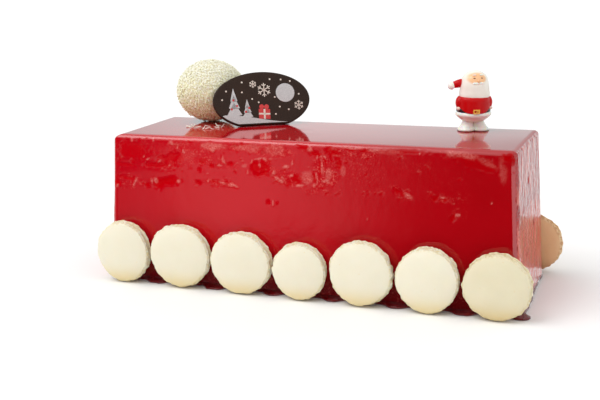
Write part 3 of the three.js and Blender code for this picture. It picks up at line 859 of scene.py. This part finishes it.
def flake_parts(rng, places, outwards, lift, length_range, lit_share):
    """Bent slivers of coconut lying on a surface, each tilted and turned at random."""
    parts, tones = [], []
    for place, outward, white in zip(places, outwards, lit_share):
        helper = np.array([0, 0, 1.0]) if abs(outward[2]) < 0.9 else np.array([1.0, 0, 0])
        side = np.cross(outward, helper)
        side /= np.linalg.norm(side)
        turn = rng.uniform(0, 2 * math.pi)
        forward = side * math.cos(turn) + np.cross(outward, side) * math.sin(turn)
        tilt = rng.normal(0, 0.36)
        run = forward * math.cos(tilt) + outward * math.sin(tilt)
        width = np.cross(outward, forward)
        thick = np.cross(run, width)
        length = rng.uniform(*length_range) * MM
        half_width = rng.uniform(0.26, 0.52) * MM
        half_thick = rng.uniform(0.10, 0.20) * MM
        bend = rng.uniform(-0.25, 0.35) * length
        centre = place + outward * rng.uniform(*lift) * MM
        rings = []
        for share, taper in ((-0.5, 0.45), (0.0, 1.0), (0.5, 0.35)):
            middle = centre + run * share * length - thick * bend * share**2
            edge = width * half_width * taper
            rings.append([middle + edge * a + thick * b * half_thick for a, b in CORNERS])
        points, faces = ring_surface(rings)
        parts.append((points, faces))
        tones += [white] * len(points)
    points, faces = joined(parts)
    return points, faces, tones


def sphere_places(rng, count):
    """Evenly spread directions with a little jitter."""
    index = np.arange(count) + 0.5
    height = 1 - 2 * index / count
    turn = index * math.pi * (3 - math.sqrt(5))
    radius = np.sqrt(1 - height**2)
    ways = np.column_stack([radius * np.cos(turn), radius * np.sin(turn), height])
    return unit(ways + rng.normal(0, 0.02, ways.shape))


def make_ball(core_material, flake_material):
    """The ball with a rough core and a coat of loose flakes."""
    low, high = (np.array(corner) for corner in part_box("ball"))
    centre = (low + high) / 2
    halves = (high - low) / 2 - 0.9 * MM
    rings = turned_rings([(math.sin(t), -math.cos(t)) for t in np.linspace(0.04, math.pi - 0.04, 60)], 110)
    local, faces = ring_surface(rings)
    local = unit(local)
    relief = 1 + 0.022 * layered_noise(local * halves, 3.4 * MM, 71)
    points = centre + local * halves * relief[:, None]
    # the core too is painted lighter above and yellower below: painted light and shade
    core = make_piece("coconut_ball", points, faces, core_material, tones={"painted_light": 0.5 + 0.5 * local[:, 2]})
    dress(core, "coconut", "ball")
    rng = np.random.default_rng(5)
    ways = sphere_places(rng, 5200)
    outwards = unit(ways / halves)
    # the coat is painted whiter above and yellower lower down, painted light and shade by height, with random
    # differences between flakes
    lit_share = np.clip(0.55 + 0.55 * ways[:, 2] + rng.normal(0, 0.28, len(ways)), 0, 1)
    places = centre + ways * halves
    points, faces, tones = flake_parts(rng, places, outwards, (0.1, 0.9), (1.3, 2.9), lit_share)
    points[:, 2] = np.maximum(points[:, 2], LOG_TOP + 0.05 * MM)
    dress(make_piece("coconut_coat", points, faces, flake_material, False, {"painted_light": tones}), "coconut")


# The ends of two curved rows of fallen coconut, in millimetres from the log's middle
CRUMB_ROWS = (
    ((-100.0, -1.0), (-95.0, -5.0), (-88.0, -8.0), (-78.0, -7.0), (-71.0, 0.0)),
    ((-99.0, 5.0), (-94.0, 1.0), (-89.0, -1.0), (-80.0, 1.0), (-75.0, 9.0), (-76.0, 24.0)),
)


def make_crumbs(flake_material):
    """Coconut that fell on the glaze in front of the ball."""
    rng = np.random.default_rng(23)
    places = []
    for row in CRUMB_ROWS:
        row = np.array(row)
        for share in (np.arange(13) + rng.uniform(-0.3, 0.3, 13)) / 12 * (len(row) - 1):
            along = [np.interp(share, np.arange(len(row)), row[:, axis]) for axis in (0, 1)]
            places.append(np.array([*along, 0]) + rng.normal(0, 1.0, 3) * (1, 1, 0))
    places = np.array(places) * MM + ORIGIN + (0, 0, LOG_TOP)
    upward = np.tile([0.0, 0.0, 1.0], (len(places), 1))
    points, faces, tones = flake_parts(rng, places, upward, (0.3, 0.6), (2.4, 4.8), np.ones(len(places)))
    points[:, 2] = np.maximum(points[:, 2], LOG_TOP + 0.05 * MM)
    dress(make_piece("coconut_crumbs", points, faces, flake_material, False, {"painted_light": tones}), "coconut")


# The chocolate plaque

PLAQUE_TURN = math.radians(31.7)
PLAQUE_LEAN = math.radians(19)
PLAQUE_ACROSS = np.array([math.cos(PLAQUE_TURN), math.sin(PLAQUE_TURN), 0])
PLAQUE_FACING = np.array([math.sin(PLAQUE_TURN), -math.cos(PLAQUE_TURN), 0])
PLAQUE_UP = math.cos(PLAQUE_LEAN) * np.array([0, 0, 1.0]) - math.sin(PLAQUE_LEAN) * PLAQUE_FACING
PLAQUE_OUT = np.cross(PLAQUE_ACROSS, PLAQUE_UP)


class Plaque:
    """The plaque's own plane: across and up in metres from the middle of its full oval."""

    def __init__(self):
        solid = node_points("plaque")
        across, up, out = (span(solid, way) for way in (PLAQUE_ACROSS, PLAQUE_UP, PLAQUE_OUT))
        self.half_width = (across[1] - across[0]) / 2
        self.half_height = 20.2 * MM
        self.floor = up[0] - (up[1] - self.half_height)
        self.thickness = out[1] - out[0]
        middle_up = up[1] - self.half_height
        self.middle = PLAQUE_ACROSS * sum(across) / 2 + PLAQUE_UP * middle_up + PLAQUE_OUT * out[0]

    def at(self, flat):
        """Places in space from (across, up, out) coordinates."""
        return self.middle + np.asarray(flat) @ np.array([PLAQUE_ACROSS, PLAQUE_UP, PLAQUE_OUT])

    def outline(self, inset, count=160):
        """The oval with its flat foot, moved inwards."""
        angles = np.arange(count) * 2 * math.pi / count - math.pi / 2
        across = (self.half_width - inset) * np.cos(angles)
        up = np.maximum((self.half_height - inset) * np.sin(angles), self.floor + inset)
        return np.column_stack([across, up])


def make_plaque(plaque, material):
    rings = []
    edge = 0.8 * MM
    for turn in np.linspace(-math.pi / 2, math.pi / 2, 11):
        inset = edge * (1 - math.cos(turn))
        level = plaque.thickness / 2 + (plaque.thickness / 2 - edge) * np.sign(turn) + edge * math.sin(turn)
        rings.append(np.column_stack([plaque.outline(inset), np.full(160, level)]))
    for inset in (3 * MM, 8 * MM, 14 * MM):
        level = plaque.thickness - 0.05 * MM * layered_noise(
            np.column_stack([plaque.outline(inset), np.zeros(160)]), 15 * MM, 81)
        rings.append(np.column_stack([plaque.outline(inset), level]))
    local, faces = ring_surface(rings)
    dress(make_piece("chocolate_plaque", plaque.at(local), faces, material), "chocolate", "plaque")


def raised_shape(plaque, name, outlines, material, height=0.14 * MM):
    """Flat printed shapes on the plaque's face, each from its outline in metres."""
    parts = []
    for outline in outlines:
        outline = np.asarray(outline)
        rings = []
        for inset, level in ((1.0, -0.1 * MM), (1.0, height * 0.7), (0.985, height)):
            centre = outline.mean(axis=0)
            flat = centre + (outline - centre) * inset
            rings.append(np.column_stack([flat, np.full(len(flat), plaque.thickness + level)]))
        local, faces = ring_surface(rings, closed_ends=False)
        count = len(outline)
        faces = [*faces, list(range(2 * count, 3 * count)), list(range(count))[::-1]]
        parts.append((plaque.at(local), faces))
    points, faces = joined(parts)
    dress(make_piece(name, points, faces, material, smooth=False), "chocolate")


def disc(across, up, radius, count):
    return ((across, up) + radius * circle(count)) * MM


def bar(start, end, width):
    """A straight stroke with four corners."""
    start, end = np.array(start, float), np.array(end, float)
    way = (end - start) / np.linalg.norm(end - start)
    side = np.array([-way[1], way[0]]) * width / 2
    return np.array([start + side, start - side, end - side, end + side]) * MM


def snowflake(across, up, radius, width):
    """Six thin arms with a pair of twigs on each."""
    strokes = []
    centre = np.array([across, up])
    for k in range(6):
        turn = k * math.pi / 3 + math.pi / 6
        way = np.array([math.cos(turn), math.sin(turn)])
        strokes.append(bar(centre + way * width * 0.4, centre + way * radius, width))
        for lean in (-1, 1):
            twig = np.array([math.cos(turn + lean * math.pi / 3.4), math.sin(turn + lean * math.pi / 3.4)])
            knot = centre + way * radius * 0.58
            strokes.append(bar(knot, knot + twig * radius * 0.36, width))
    return strokes


def fir_tree(across, up, width, height):
    """Three overlapping tiers as separate triangles with curved hems."""
    tiers = []
    for k in range(3):
        share = 1 - 0.27 * k
        low = up + height * 0.26 * k
        top = low + height * 0.48
        half = width / 2 * share
        hem = [(across + half * (1 - 2 * t), low - 0.7 * math.sin(math.pi * t)) for t in np.linspace(0, 1, 9)]
        tiers.append(np.array([(across, top), *hem][::-1]) * MM)
    return tiers


def make_print(plaque, materials):
    """A made-up winter scene: snowy hill, fir trees, a full moon, a wrapped present and falling snow."""
    # the hill fills the foot of the oval, higher on the left
    rim = plaque.outline(1.3 * MM, 240)
    hill_top = -9.5 * MM - 6.5 * MM * smoothstep(-26 * MM, 20 * MM, rim[:, 0])
    lower = rim[rim[:, 1] < hill_top]
    order = np.argsort(np.arctan2(lower[:, 1], lower[:, 0]))
    lower = lower[order]
    crest_x = np.linspace(lower[-1][0], lower[0][0], 30)[1:-1]
    crest = np.column_stack([crest_x, -9.5 * MM - 6.5 * MM * smoothstep(-26 * MM, 20 * MM, crest_x)])
    raised_shape(plaque, "print_hill", [np.vstack([lower, crest])], materials["grey"])
    trees = [*fir_tree(-19.5, -9.6, 10.5, 19), *fir_tree(-10.4, -11.2, 7.4, 12.5)]
    raised_shape(plaque, "print_trees", trees, materials["grey"], 0.10 * MM)
    raised_shape(plaque, "print_moon", [disc(17.0, 4.6, 6.6, 40)], materials["grey"])
    gift = [np.array([(-2.8, -13.0), (5.2, -13.6), (5.4, -6.6), (-2.6, -6.0)]) * MM]
    bows = [disc(-0.4, -4.6, 1.7, 20), disc(3.0, -4.8, 1.7, 20)]
    raised_shape(plaque, "print_present", [*gift, *bows], materials["red"], 0.16 * MM)
    ribbon = [bar((1.2, -13.3), (1.4, -6.3), 1.3), bar((-2.7, -9.4), (5.3, -10.0), 1.2)]
    raised_shape(plaque, "print_ribbon", ribbon, materials["cream"], 0.20 * MM)
    hung = ((-21.4, -5.4), (-17.6, -3.2), (-19.8, 0.8), (-11.6, -7.6), (-9.2, -5.0))
    baubles = [disc(x, y, 0.75, 16) for x, y in hung]
    raised_shape(plaque, "print_baubles", baubles, materials["red"], 0.2 * MM)
    crystals = ((2.2, 7.2, 4.9, 0.62), (26.0, -4.6, 3.4, 0.52), (-5.4, 11.6, 2.6, 0.46))
    flakes = [stroke for crystal in crystals for stroke in snowflake(*crystal)]
    raised_shape(plaque, "print_snowflakes", flakes, materials["cream"], 0.12 * MM)
    spots = ((-27.6, 1.4), (-24.4, 7.4), (-13.4, 6.2), (-6.6, 1.2), (-13.0, 13.2), (6.8, 14.6), (9.4, 1.8),
             (12.4, -5.2), (18.6, -7.4), (26.6, 3.2), (21.0, 12.6), (-2.2, -1.4), (9.2, -10.2), (14.6, 14.0))
    raised_shape(plaque, "print_snow", [disc(x, y, 0.62, 14) for x, y in spots], materials["cream"])


# The figurine

FIGURINE_PLACE = (96.5 * MM, 27 * MM)
FIGURINE_TURN = math.radians(21)
# The face looks a little to the side of the coat's front, and the head sits a little to the right
FACE_TURN = math.radians(6)
HEAD_SHIFT = 0.6
HAT_SLOPE = math.radians(13)


def ellipsoid_part(centre, halves, around=32, count=20):
    """Points and faces of an ellipsoid, all sizes in millimetres."""
    turns = np.linspace(0.08, math.pi - 0.08, count)
    rings = turned_rings([(math.sin(t), -math.cos(t)) for t in turns], around) * np.array(halves)
    points, faces = ring_surface(rings)
    return points + np.array(centre), faces


def turned_part(pairs, steps=5, around=72):
    return ring_surface(turned_rings(smooth_profile(pairs, steps), around))


def figurine_piece(name, part, material, tones=None, smooth=True, nodes=()):
    """A part in millimetres, set on the log facing the front and turned to the right."""
    points, faces = part
    turn = np.array(Matrix.Rotation(FIGURINE_TURN, 3, "Z"))
    base = ORIGIN + (FIGURINE_PLACE[0], FIGURINE_PLACE[1], LOG_TOP + 0.15 * MM)
    placed = base + points @ turn.T * MM
    dress(make_piece(name, placed, faces, material, smooth, tones), "ceramic", *nodes)


def boot_part(side):
    """A flared boot, leaning towards the other one."""
    height = 9.0
    outline = [(0.4, 0), (4.6, 0), (5.5, 0.3), (5.8, 1.1), (5.3, 2.0), (4.6, 2.9), (3.9, 4.6), (3.7, 6.6),
               (3.7, height)]
    points, faces = turned_part(outline, 4, 48)
    points[:, 0] += side * (4.7 - 1.8 * points[:, 2] / height)
    points[:, 1] = points[:, 1] * 1.12 - 0.5 * (1 - points[:, 2] / height)
    return points, faces


def make_legs(materials):
    """Boots, the coat's rolled trim above them, and the belt."""
    boots = joined([boot_part(-1), boot_part(1)])
    figurine_piece("figurine_boots", boots, materials["white"], nodes=("figurine",))
    trim = turned_part([(0.5, 6.2), (5.6, 6.4), (7.6, 7.0), (9.8, 8.6), (11.3, 10.1), (11.7, 11.2),
                        (11.3, 12.4), (10.4, 13.0), (9.2, 12.8)])
    rolls = 0.16 * layered_noise(trim[0], 3.0, 91)
    trim[0][:, :2] *= (1 + rolls * smoothstep(7, 12, trim[0][:, 2]) * 0.12)[:, None]
    figurine_piece("figurine_trim", trim, materials["white"])
    belt = turned_part([(8.8, 11.6), (10.6, 12.0), (11.1, 13.0), (11.2, 14.6), (10.5, 15.6), (8.8, 15.8)], 4)
    figurine_piece("figurine_belt", belt, materials["black"])


def make_coat(materials):
    """The coat with its arms and cuffs."""
    coat = turned_part([(8.6, 14.8), (10.8, 15.0), (11.1, 16.2), (11.1, 18.6), (10.8, 20.8), (10.0, 22.4),
                        (7.0, 23.4)])
    # the hem dips in front and lifts at the sides
    dip = smoothstep(-5.5, -10.0, coat[0][:, 1]) * smoothstep(19, 14.6, coat[0][:, 2])
    coat[0][:, 2] -= 2.6 * dip
    coat[0][:, 1] -= 0.9 * dip
    arms = [ellipsoid_part((side * 9.4, -1.6, 18.6), (2.6, 3.6, 4.4)) for side in (-1, 1)]
    figurine_piece("figurine_coat", joined([coat, *arms]), materials["red"])
    cuffs = [ellipsoid_part((side * 9.9, -3.4, 15.1), (1.9, 2.3, 1.3), 24, 12) for side in (-1, 1)]
    figurine_piece("figurine_cuffs", joined(cuffs), materials["cuff"])


def face_plane():
    """The matrix that turns places seen from the face to places seen from the coat."""
    return np.array([[math.cos(FACE_TURN), -math.sin(FACE_TURN)], [math.sin(FACE_TURN), math.cos(FACE_TURN)]])


def on_face(across, out, height, halves):
    """An ellipsoid on the head, placed from the middle of the face."""
    place = face_plane() @ np.array([across, out])
    return ellipsoid_part((place[0] + HEAD_SHIFT, place[1], height), halves, 20, 12)


def make_head(materials):
    """Head, beard and hair are one bell, with the painted skin high on its front."""
    head, faces = turned_part([(7.0, 21.4), (9.4, 21.9), (9.95, 23.6), (9.65, 26.5), (9.3, 30.0), (8.3, 34.2),
                               (6.9, 36.4), (4.4, 38.2), (1.8, 39.2), (0.3, 39.4)], 7, 120)
    waves = np.sin(3.4 * np.arctan2(head[:, 0], -head[:, 1]) * 3 + head[:, 2] * 0.5)
    head[:, :2] *= (1 + 0.006 * waves * smoothstep(30, 24, head[:, 2]) * (head[:, 1] < 2))[:, None]
    local = head[:, :2] @ face_plane()
    from_face = np.hypot((local[:, 0] + 0.5) / 6.2, (head[:, 2] - 34.6) / 3.6)
    skin = smoothstep(1.15, 0.8, from_face) * (local[:, 1] < 0)
    head[:, 0] += HEAD_SHIFT
    figurine_piece("figurine_head", (head, faces), materials["face"], {"skin": skin})
    eyes = [on_face(side * 2.3, -7.55, 34.9, (0.85, 0.35, 0.36)) for side in (-1, 1)]
    figurine_piece("figurine_eyes", joined(eyes), materials["brown"])
    brows = [on_face(side * 2.3, -6.7, 36.9, (1.2, 0.5, 0.4)) for side in (-1, 1)]
    moustache = [on_face(side * 1.8, -8.55, 31.6, (2.1, 0.8, 0.85)) for side in (-1, 1)]
    figurine_piece("figurine_moustache", joined([*brows, *moustache]), materials["white"])
    figurine_piece("figurine_nose", on_face(0, -8.5, 33.2, (0.95, 0.9, 0.85)), materials["skin"])


def make_hat(materials):
    """The hat's tail, hanging out to the side, with a pompom at its end."""
    outline = [(1.4, 0), (2.5, 0.2), (2.7, 1.4), (2.6, 3.4), (2.3, 5.2), (2.0, 6.8), (1.1, 7.4)]
    tail, faces = turned_part(outline, 4, 40)
    run = -7 - tail[:, 2] * math.cos(HAT_SLOPE) - tail[:, 0] * math.sin(HAT_SLOPE)
    rise = 31.4 - tail[:, 2] * math.sin(HAT_SLOPE) + tail[:, 0] * math.cos(HAT_SLOPE)
    figurine_piece("figurine_hat", (np.column_stack([run, tail[:, 1] + 0.6, rise]), faces), materials["red"])
    figurine_piece("figurine_pompom", ellipsoid_part((-14.4, 0.6, 29.6), (2.5, 2.7, 2.7)), materials["white"])


def make_buckle(materials):
    """Four bars and a pin."""
    buckle = []
    for x0, x1, z0, z1 in ((-2.1, 2.1, 14.5, 15.2), (-2.1, 2.1, 12.4, 13.1), (-2.1, -1.4, 13.0, 14.6),
                           (1.4, 2.1, 13.0, 14.6), (-0.3, 1.5, 13.5, 14.1)):
        flat = ((x0, -12.3), (x1, -12.3), (x1, -10.6), (x0, -10.6))
        buckle.append(ring_surface([[(x, y, z) for x, y in flat] for z in (z0, z1)]))
    figurine_piece("figurine_buckle", joined(buckle), materials["gold"], smooth=False)


def make_figurine(materials):
    for make_part in (make_legs, make_coat, make_head, make_hat, make_buckle):
        make_part(materials)


# Camera, floor and light

def make_camera():
    sy, cy = math.sin(CAMERA_YAW), math.cos(CAMERA_YAW)
    forward = Vector((-sy * math.cos(CAMERA_PITCH), cy * math.cos(CAMERA_PITCH), -math.sin(CAMERA_PITCH)))
    level = Vector((cy, sy, 0))
    upright = level.cross(forward)
    right = math.cos(CAMERA_ROLL) * level + math.sin(CAMERA_ROLL) * upright
    up = math.cos(CAMERA_ROLL) * upright - math.sin(CAMERA_ROLL) * level
    camera = bpy.data.objects.new("camera", bpy.data.cameras.new("camera"))
    camera.data.lens = CAMERA_LENS
    camera.data.sensor_width = 36
    camera.data.clip_start = 0.01
    place = Vector(ORIGIN + CAMERA_OFFSET)
    turn = Matrix((right, up, -forward)).transposed().to_4x4()
    camera.matrix_world = Matrix.Translation(place) @ turn
    bpy.context.collection.objects.link(camera)
    bpy.context.scene.camera = camera


def make_floor():
    """A wide pale floor. Mirrors look past it, to the room's light from below."""
    shader = Shader("pale_floor", Roughness=0.8, IOR=1.4)
    shader.colour(shader.mix(shader.noise(0.4, 2.0), (0.955, 0.955, 0.955), (0.97, 0.97, 0.97)))
    reach = 8.0
    corners = [(reach * x, reach * y, -0.4 * MM) for x, y in ((-1, -1), (1, -1), (1, 1), (-1, 1))]
    floor = make_piece("floor", corners, [(0, 1, 2, 3)], shader.material, False)
    floor.visible_glossy = False


def largest(nodes, first, *others):
    for other in others:
        first = nodes.math("MAXIMUM", first, other)
    return first


def far_wall(nodes, north, west, height):
    """Light of the wall behind the cake, bright up to ten degrees high and weaker towards the left."""
    wall = nodes.ranged(height, 0.165, 0.20, 1.02, 0.52)
    left_behind = nodes.times(nodes.math("ARCTAN2", west, north), math.degrees(1))
    wall = nodes.times(wall, nodes.ranged(left_behind, 22, 34, 1.0, 0.72))
    # low down it darkens soon towards the right, which gives the end's streaks their contrast
    right_dark = nodes.times(nodes.ranged(left_behind, -14, -26), nodes.ranged(height, 0.0, -0.06))
    return nodes.times(wall, nodes.math("SUBTRACT", 1.0, nodes.times(right_dark, 0.8)))


def front_window(nodes, left, height):
    """Light of a tall window in front, by the angle in degrees towards the left."""
    # its left edge slants, and steps further left low down
    slant = nodes.math("ADD", nodes.ranged(height, -0.095, -0.120, 26.2, 28.8),
                       nodes.ranged(height, -0.120, -0.132, 0, 5.0))
    left_edge = nodes.ranged(nodes.math("SUBTRACT", left, slant), 1.6, -1.6)
    window = nodes.times(nodes.ranged(left, 12, 24), left_edge)
    window = nodes.times(window, nodes.ranged(left, 26.5, 30.5, 1.0, 0.40))
    return nodes.times(window, nodes.ranged(height, -0.215, -0.180))


def low_strip(nodes, left, height):
    """Light low on the right, which the log's upright edge mirrors; it reaches round to the far wall."""
    strip = nodes.times(nodes.ranged(left, -20, -28), nodes.ranged(left, -106, -90))
    return nodes.times(strip, nodes.ranged(height, -0.02, -0.06))


def make_world():
    """A white room: brightest low behind the cake, and dark in front but for the window and the strip."""
    world = bpy.data.worlds.new("surroundings")
    world.use_nodes = True
    nodes = Nodes(world.node_tree, "Generated")
    background = world.node_tree.nodes["Background"]
    split = nodes.add("ShaderNodeSeparateXYZ")
    nodes.link(nodes.place, split.inputs[0])
    east, north, height = split.outputs
    west = nodes.times(east, -1.0)
    # the angle in degrees from straight in front towards the left
    left = nodes.times(nodes.math("ARCTAN2", west, nodes.times(north, -1.0)), math.degrees(1))
    behind = nodes.ranged(north, -0.05, 0.15)
    wall = nodes.times(behind, far_wall(nodes, north, west, height))
    above = nodes.ranged(height, 0.02, 0.44, 0.0, 0.88)
    sides = largest(nodes, nodes.ranged(left, -25, -45), nodes.ranged(left, 55, 75))
    light = largest(nodes, wall, above, nodes.times(sides, 0.62),
                    nodes.times(front_window(nodes, left, height), 0.46),
                    nodes.times(low_strip(nodes, left, height), 1.7))
    nodes.link(nodes.math("ADD", light, 0.01), background.inputs["Strength"])
    # the far wall is faintly cool
    cool = nodes.times(nodes.ranged(height, 0.0, 0.10), nodes.ranged(height, 0.26, 0.18))
    tint = nodes.mix(nodes.times(behind, cool), (1.0, 0.997, 0.99), (0.78, 1.0, 1.0))
    nodes.link(tint, background.inputs["Color"])
    bpy.context.scene.world = world


def make_lights():
    make_world()
    lamp = bpy.data.lights.new("key", "SUN")
    lamp.energy = 1.24
    lamp.angle = math.radians(42)
    holder = bpy.data.objects.new("key", lamp)
    azimuth, elevation = math.radians(52), math.radians(50)
    toward = Vector((-math.sin(azimuth) * math.cos(elevation), -math.cos(azimuth) * math.cos(elevation),
                     math.sin(elevation)))
    holder.rotation_mode = "QUATERNION"
    holder.rotation_quaternion = toward.to_track_quat("Z", "Y")
    bpy.context.collection.objects.link(holder)
    settings = bpy.context.scene.view_settings
    settings.view_transform = "Standard"
    settings.look = "None"


# Tones in sRGB, 0..255

# the shells' darker, lighter, toasted and frill tones; the last front macaron and the back row are copies
# with painted shade
SHELL_TONES = {
    "macaron_shell": ((240, 233, 208), (246, 240, 219), (238, 216, 158), (255, 248, 226)),
    "shaded_last_shell": ((227, 218, 186), (237, 228, 199), (226, 200, 140), (250, 238, 208)),
    "shaded_back_shell": ((232, 186, 136), (242, 204, 156), (190, 130, 84), (246, 214, 170)),
}
PRINT_TONES = {
    "grey": ((194, 196, 197), (212, 213, 212)),
    "cream": ((226, 214, 200), (240, 232, 220)),
    "red": ((204, 52, 54), (220, 78, 76)),
}
CERAMIC_TONES = {
    "white_glaze": ((246, 243, 230), (255, 253, 247)),
    "red_glaze": ((184, 0, 4), (208, 1, 8)),
    "black_glaze": ((16, 13, 12), (30, 26, 24)),
    "brown_glaze": ((96, 44, 26), (120, 60, 38)),
    "cuff_glaze": ((232, 196, 180), (246, 220, 206)),
    "gold_lustre": ((206, 138, 36), (236, 180, 70)),
    "skin_glaze": ((248, 178, 124), (253, 200, 152)),
}
CERAMIC_SETTINGS = {
    "white_glaze": {"Subsurface_Weight": 0.35},
    "red_glaze": {"Coat_Weight": 0.0, "Specular_IOR_Level": 0.25},
    "gold_lustre": {"Metallic": 0.6},
}


def shell_kind(row, index):
    """The front row is pale, but for its last one, a copy with painted shade; the back row is a tan copy with
    painted shade and warm bounce light.
    """
    if row == "back":
        return "shaded_back_shell"
    return "shaded_last_shell" if index == MACARONS_IN_ROW - 1 else "macaron_shell"


def in_linear(tones):
    return [linear(*painted_light) for painted_light in tones]


def main():
    make_camera()
    make_floor()
    make_lights()
    make_log(glaze_material())
    pooled = shaded_glaze_material()
    make_glaze_foot(pooled)
    cream = filling_material()
    shells = {name: macaron_material(name, *in_linear(tones)) for name, tones in SHELL_TONES.items()}
    for row in ROW_NAMES:
        for index in range(MACARONS_IN_ROW):
            make_macaron(row, index, shells[shell_kind(row, index)], cream)
    flakes = coconut_material("coconut_flakes", linear(246, 250, 204), linear(255, 255, 244))
    make_ball(coconut_material("coconut_core", linear(238, 232, 178), linear(250, 244, 218)), flakes)
    make_crumbs(flakes)
    plaque = Plaque()
    make_plaque(plaque, chocolate_material())
    make_seats(plaque, pooled)
    make_print(plaque, {name: print_material(f"print_{name}", *in_linear(tones))
                        for name, tones in PRINT_TONES.items()})
    glazes = {name.split("_")[0]: ceramic_material(name, *in_linear(tones), **CERAMIC_SETTINGS.get(name, {}))
              for name, tones in CERAMIC_TONES.items()}
    make_figurine({**glazes, "face": face_material()})


main()
